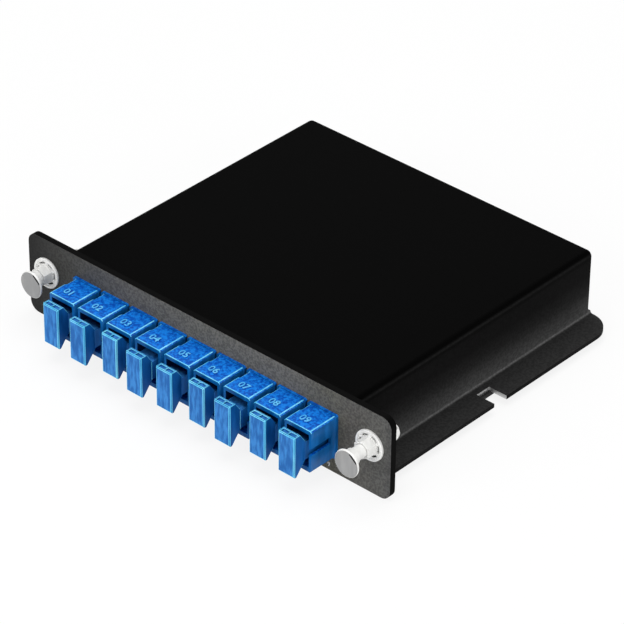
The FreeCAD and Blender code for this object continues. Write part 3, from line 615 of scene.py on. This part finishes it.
# ---------------------------------------------------------------- plungers
PLUNGER_X = 58.1
PLUNGER_Z = 14.6
PUSHED = {"left": 2.9, "right": 0.0}
HEAD_SLOT = math.radians(50)   # above the X axis, where the slot in a head lies
SLOT_REACH = math.radians(23)  # to each side of the slot's middle
SLOT_DEPTH = 0.45
SLOT_LIMIT = 3.75            # the slot's rings stay within this radius
HEAD_Y = 9.4                 # a head's face, in front of the panel when pulled out
LEAN = (0.35, -0.8)          # how far a head hangs off its axis, in X and Z
LEAN_FROM = -6.3             # the outermost part of the neck that enters the grommet
FACE_DEPTH = 0.1             # behind a head's face, where its painted shade ends
SHADED_FACE, SHADED_SLOT = 1, 2            # places of the painted shade on the face and in the slot, in a plunger's list
WINDOW_DEPTH = 0.4           # of the windows in a grommet's dish
WINDOW_REACH = math.radians(20)
PLUNGER_SIDES, GROMMET_SIDES, LEG_STEPS = 120, 144, 12
LEG_GAP = 0.12               # radians, half the slit between two legs
# Profiles of (place along Y, radius). A plunger's places count from the panel's front face when
# it is pulled out, and a grommet's from that face.
HEAD_FACE = [(-9.4, 0.0), (-9.4, 1.5), (-9.4, 2.9), (-9.4, 3.05), (-9.398, 3.055),
             (-9.398, 3.595), (-9.4, 3.6)]
STEM = [(-9.4, 3.4), (-9.4, 3.9), (-8.8, 3.9), (-8.7, 3.5), (-8.35, 2.95), (-7.7, 2.55),
        (-6.4, 2.3), (-6.4, 1.85), (0.5, 1.85), (0.5, 1.5), (9.0, 1.5), (9.0, 1.8), (9.8, 1.3),
        (9.8, 0.0)]
STEM_ROUNDING = [0.14, 0.1, 0.3, 0.5, 0.7, 0.1, 0.05, 0.05, 0.03, 0.05, 0.05, 0.3, 0.3]
BOSS = [(-3.4, 1.96), (-3.4, 2.28), (-3.33, 2.35), (-0.4, 2.35), (-0.4, 2.79), (-0.398, 2.8),
        (-0.398, 3.4), (-0.4, 3.41)]
FLANGE = [(-0.4, 3.6), (-0.4, 3.8), (-0.6, 3.85), (-0.6, 4.5), (0.0, 4.5)]
FLANGE_ROUNDING = [0.08, 0.08, 0.15]
FLANGE_BACK = [(0.0, 2.95), (0.0, 1.96), (-3.4, 1.96)]
LEG = [(0.0, 1.96), (0.0, 2.94), (2.5, 2.94), (2.5, 2.75), (7.4, 2.75), (8.4, 2.45), (8.8, 2.3),
       (8.9, 2.15), (8.9, 1.61), (4.0, 1.61), (4.0, 1.96)]


def around(profile, place_y, side, sides, shape):
    """Rings about a plunger's axis from a profile of (y, radius).

    Ring i at angle t is (X + r_i cos t, y_i, Z + r_i sin t). shape takes the arrays y and r, one
    row for each ring and one column for each angle, and changes them in place.
    """
    angle = np.linspace(0, 2 * np.pi, sides, endpoint=False)
    y = np.repeat(profile[:, :1], sides, axis=1)
    r = np.repeat(profile[:, 1:], sides, axis=1)
    shape(angle, y, r)
    rings = np.stack([side * PLUNGER_X + r * np.cos(angle), y + place_y,
                      PLUNGER_Z + r * np.sin(angle)], axis=-1) * MM
    return rings.reshape(-1, 3)


def slot_in_head(angle, y, r):
    """Straight slot near the rim of a head's face, in the rings from 3 to 6.

    Within SLOT_REACH of the slot's middle a ring of radius d becomes the line r = d / cos(t), and
    the two inner rings of the four go down to the slot's floor.
    """
    away = np.abs((angle - HEAD_SLOT + np.pi) % (2 * np.pi) - np.pi)
    r[3:7] /= np.cos(np.minimum(away, SLOT_REACH))
    r[3:7] = np.minimum(r[3:7], SLOT_LIMIT)
    y[4:6] += SLOT_DEPTH * (away < SLOT_REACH)


def leaning(points, place_y):
    """Lets a head droop: the neck leaves the axis in a straight line from the place up to which
    it slides into its grommet, and the head's face is LEAN off the axis."""
    free = np.maximum(0, LEAN_FROM + place_y - points[:, 1] / MM) / (LEAN_FROM + HEAD_Y)
    points[:, 0] += LEAN[0] * MM * free
    points[:, 2] += LEAN[1] * MM * free
    return points


def from_axis(place, side):
    """Distance of a place on a head's face from the middle of that face."""
    middle = side * PLUNGER_X + LEAN[0], PLUNGER_Z + LEAN[1]
    return math.hypot(place.x / MM - middle[0], place.z / MM - middle[1])


def plunger(word, side):
    """Push-pull plunger: flat head with a slot by its rim, flared neck, shank and barb."""
    shift = PANEL_Y + PUSHED[word]
    shape = np.concatenate([HEAD_FACE, rounded(STEM, STEM_ROUNDING)[1:]])
    points = leaning(around(shape, shift, side, PLUNGER_SIDES, slot_in_head), shift)
    faces = grid_faces(len(shape), PLUNGER_SIDES)
    name = "plunger_" + word
    made = piece(name + "_finished", points, faces, "latch_pin_" + word,
                 ["plunger_nylon", "plunger_face_shade", "plunger_slot_shade"])
    outward(made.data)
    # Painted shade: grey on the head's face, darker in the slot.
    for facet in made.data.polygons:
        depth = facet.center.y / MM - shift
        if facet.normal.y < -0.97 and depth < FACE_DEPTH - HEAD_Y:
            facet.material_index = SHADED_FACE
        # Painted shade in the slot.
        elif (depth < SLOT_DEPTH + 0.02 - HEAD_Y
              and from_axis(facet.center, side) < SLOT_LIMIT - 0.01):
            facet.material_index = SHADED_SLOT
    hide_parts(name)


def hexagon_and_windows(angle, y, r):
    """Makes the boss's rings hexagonal and sinks six windows in the dish's floor.

    A hexagon with flats at 0, 60 ... degrees has r = a / cos(t), where t is the angle from the
    nearest flat's middle. A window lies by each flat, to WINDOW_REACH each side of its middle.
    """
    away = np.abs((angle + np.pi / 6) % (np.pi / 3) - np.pi / 6)
    r[1:4] /= np.cos(away)
    y[5:7] += WINDOW_DEPTH * (away < WINDOW_REACH)


def grommet(word, side):
    """Grommet: flange with a windowed dish, hexagonal boss, and four split legs behind."""
    shape = np.concatenate([BOSS, rounded(FLANGE, FLANGE_ROUNDING), FLANGE_BACK])
    points = around(shape, PANEL_Y, side, GROMMET_SIDES, hexagon_and_windows)
    faces = grid_faces(len(shape), GROMMET_SIDES).tolist()
    for quarter in range(4):
        first = math.radians(quarter * 90 - 45) + LEG_GAP
        more, more_faces = leg(side, first, math.radians(90) - 2 * LEG_GAP)
        faces += [[len(points) + corner for corner in face] for face in more_faces]
        points = np.concatenate([points, more])
    name = "grommet_" + word
    made = piece(name + "_finished", points, faces, "cassette", ["grommet_nylon"])
    outward(made.data)
    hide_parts(name)


def leg(side, first, span):
    """One split leg: its closed profile carried round the axis, with a flat face at each end.

    Point i of the profile at angle t is (X + r_i cos t, y_i, Z + r_i sin t), for t from first to
    first + span.
    """
    angle = first + np.linspace(0, span, LEG_STEPS)
    y, r = np.array(LEG).T
    rows = np.stack([side * PLUNGER_X + np.outer(np.cos(angle), r),
                     np.outer(np.ones(LEG_STEPS), y + PANEL_Y),
                     PLUNGER_Z + np.outer(np.sin(angle), r)], axis=-1) * MM
    last = (LEG_STEPS - 1) * len(LEG)
    ends = [list(range(len(LEG))), list(range(last, last + len(LEG)))]
    return rows.reshape(-1, 3), grid_faces(LEG_STEPS, len(LEG)).tolist() + ends


def latches():
    """Both plungers in their grommets."""
    for word, side in (("left", -1), ("right", 1)):
        plunger(word, side)
        grommet(word, side)


# ---------------------------------------------------------------- floor and light
FLOOR_HALF = 3.0             # metres
FLOOR_WHITE = 0.85           # share of plain white in the floor where it is seen
WORLD_LIGHT = 0.4            # strength of the white world as a light
WORLD_SEEN = 1.0             # and where it is seen
# Soft boxes: name, place, aim and size in metres, and watts.
LAMPS = [("overhead", (-0.1, 0.1, 1.2), (0, 0, 0), 1.0, 9),
         ("front", (-0.2, -1.2, 0.5), (0, 0, 0.01), 0.9, 7),
         ("right", (1.1, -0.2, 0.35), (0, 0, 0.01), 0.7, 4.5)]


def background_rays(owner):
    """1 for a ray that shows the background: from the camera, off gloss or through glass."""
    path = add(owner, "ShaderNodeLightPath")
    seen = path.outputs["Is Camera Ray"]
    for kind in ("Is Glossy Ray", "Is Transmission Ray"):
        seen = add(owner, "ShaderNodeMath", {"operation": "MAXIMUM"},
                   links={0: seen, 1: path.outputs[kind]}).outputs[0]
    return seen


def stage():
    """White paper floor that keeps a soft shadow, under a world that is white where it is seen."""
    mesh = bpy.data.meshes.new("floor")
    corners = [(x * FLOOR_HALF, y * FLOOR_HALF, 0) for x, y in ((-1, -1), (1, -1), (1, 1), (-1, 1))]
    mesh.from_pydata(corners, [], [(0, 1, 2, 3)])
    floor = bpy.data.objects.new("floor", mesh)
    bpy.context.collection.objects.link(floor)
    material, shader = start("white_paper_floor")
    wire(material, shader, {"Base Color": linear("F4F4F4"), "Roughness": 0.9,
                            "Specular IOR Level": 0.0})
    white = add(material, "ShaderNodeEmission", values={"Color": (1, 1, 1, 1), "Strength": 1.0})
    share = add(material, "ShaderNodeMath", {"operation": "MULTIPLY"}, {1: FLOOR_WHITE},
                {0: background_rays(material)})
    blend = add(material, "ShaderNodeMixShader", links={
        0: share.outputs[0], 1: shader.outputs["BSDF"], 2: white.outputs["Emission"]})
    out = material.node_tree.nodes["Material Output"]
    wire(material, out, links={"Surface": blend.outputs["Shader"]})
    mesh.materials.append(material)

    world = bpy.data.worlds.new("studio")
    bpy.context.scene.world = world
    world.use_nodes = True
    background = world.node_tree.nodes["Background"]
    strength = add(world, "ShaderNodeMapRange", links={"Value": background_rays(world)},
                   values={"To Min": WORLD_LIGHT, "To Max": WORLD_SEEN})
    wire(world, background, {"Color": (1, 1, 1, 1)}, {"Strength": strength.outputs["Result"]})


def lamp(name, place, aim, size, watts):
    """A square soft box at a place, turned towards its aim."""
    data = bpy.data.lights.new(name, "AREA")
    data.shape = "SQUARE"
    data.size = size
    data.energy = watts
    box = bpy.data.objects.new(name, data)
    turn = (Vector(aim) - Vector(place)).to_track_quat("-Z", "Y").to_matrix().to_4x4()
    box.matrix_world = Matrix.Translation(Vector(place)) @ turn
    bpy.context.collection.objects.link(box)


# ---------------------------------------------------------------- putting it together
paint_nodes()
ports()
printed_figures()
sheet_metal()
base_screws()
latches()
camera()
stage()
for row in LAMPS:
    lamp(*row)

bpy.context.scene.view_settings.view_transform = "Standard"
